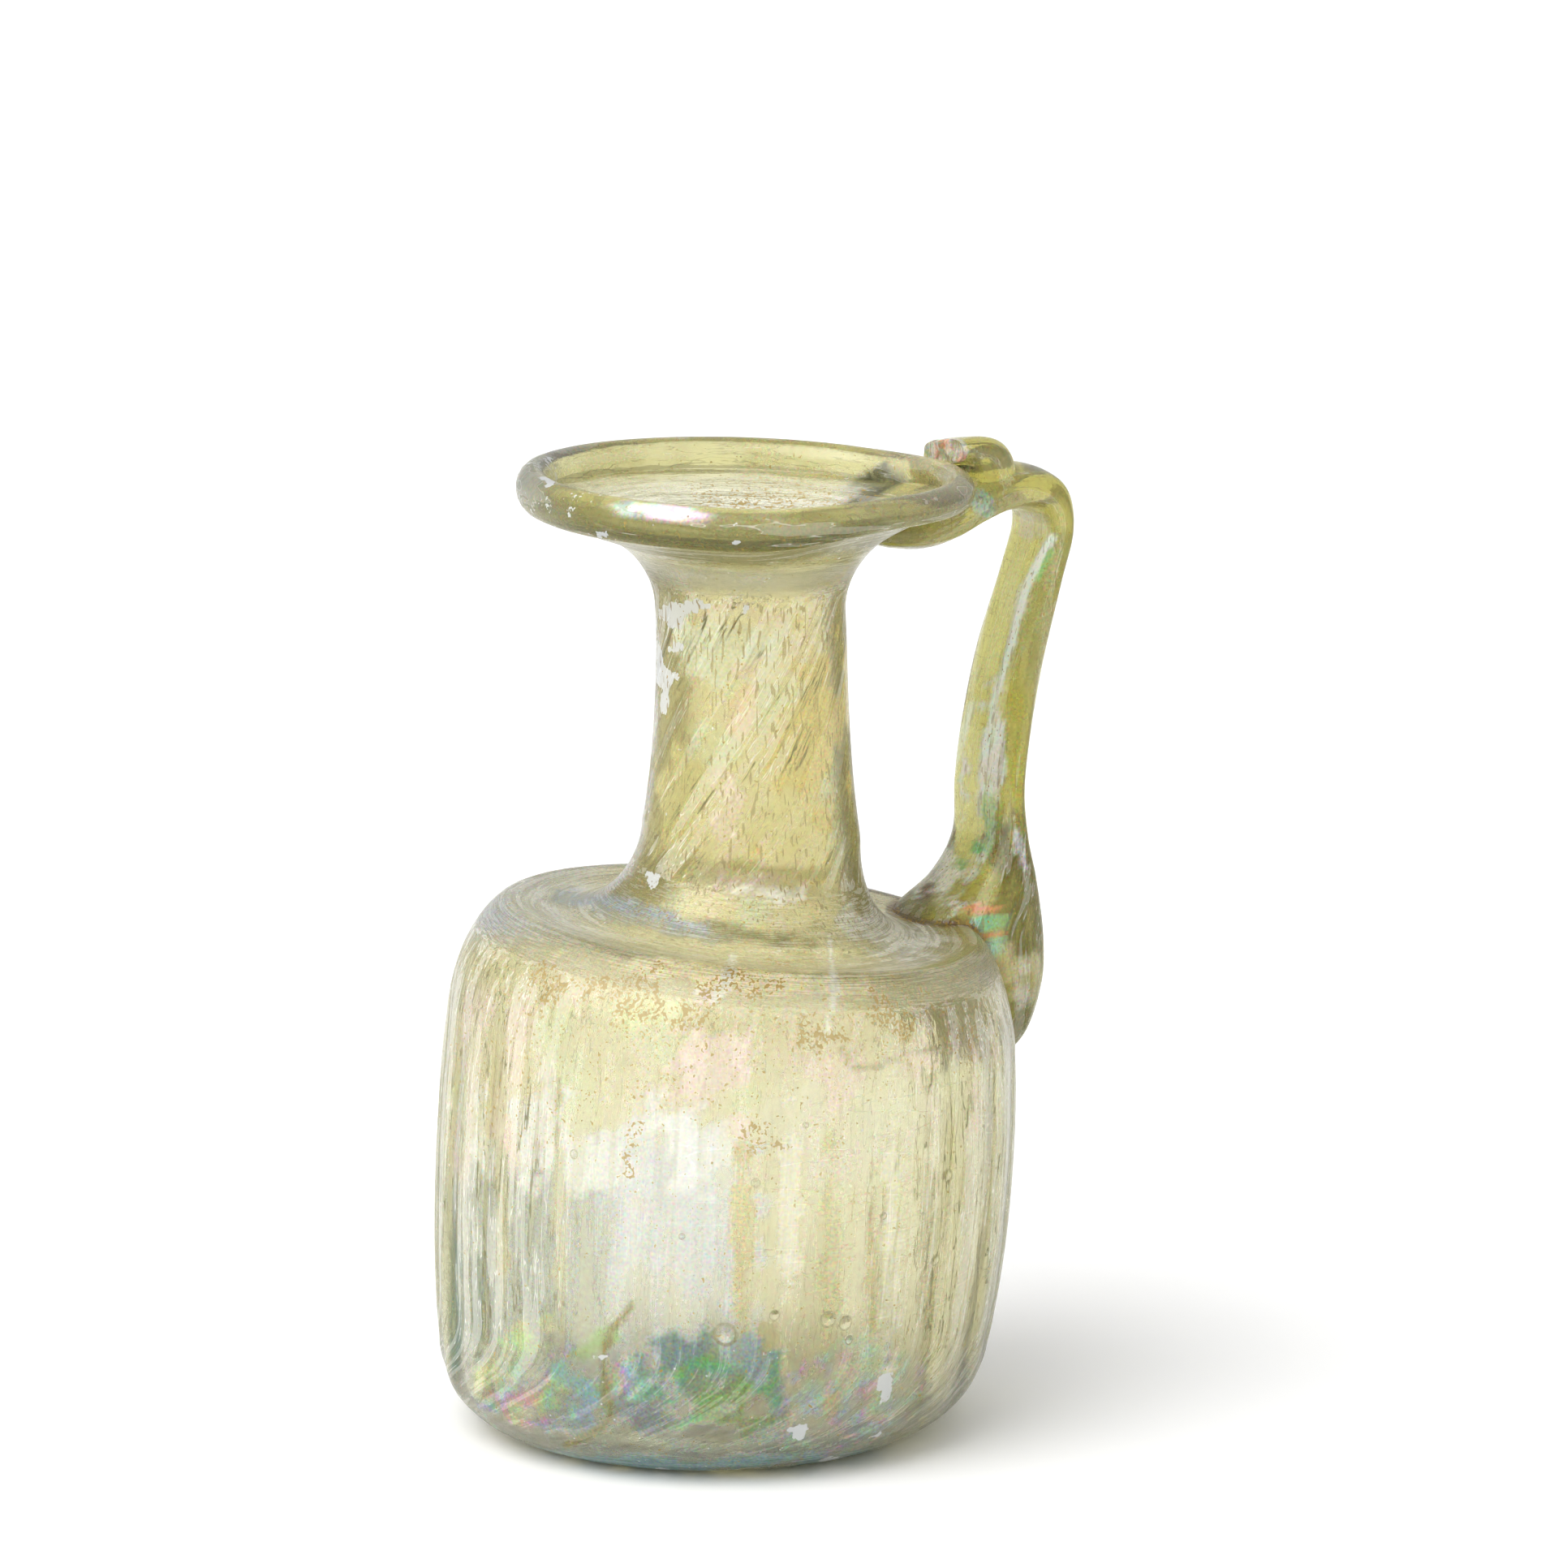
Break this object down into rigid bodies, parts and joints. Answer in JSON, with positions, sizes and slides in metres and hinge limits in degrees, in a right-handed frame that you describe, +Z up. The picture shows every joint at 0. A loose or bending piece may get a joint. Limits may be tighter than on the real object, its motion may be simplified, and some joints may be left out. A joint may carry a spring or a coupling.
{
  "type": "glass juglet",
  "caption": "Squat ribbed glass jug with a pushed-in base, tall neck, wide funnel mouth with a rolled rim, and a strap handle from shoulder to rim.",
  "frame": {"origin": "on the surface the jug stands on, under the middle of its outline seen from above, handle included", "axes": "+Z up, +X towards the handle; the neck leans 30 degrees round from +X towards -Y"},
  "size_m": [0.0782, 0.0664, 0.1136],
  "materials": {
    "vessel_glass": "weathered",
    "handle_glass": "weathered"
  },
  "bodies": {
    "root": {"vessel": "vessel_glass", "handle": "handle_glass"}
  },
  "joints": []
}
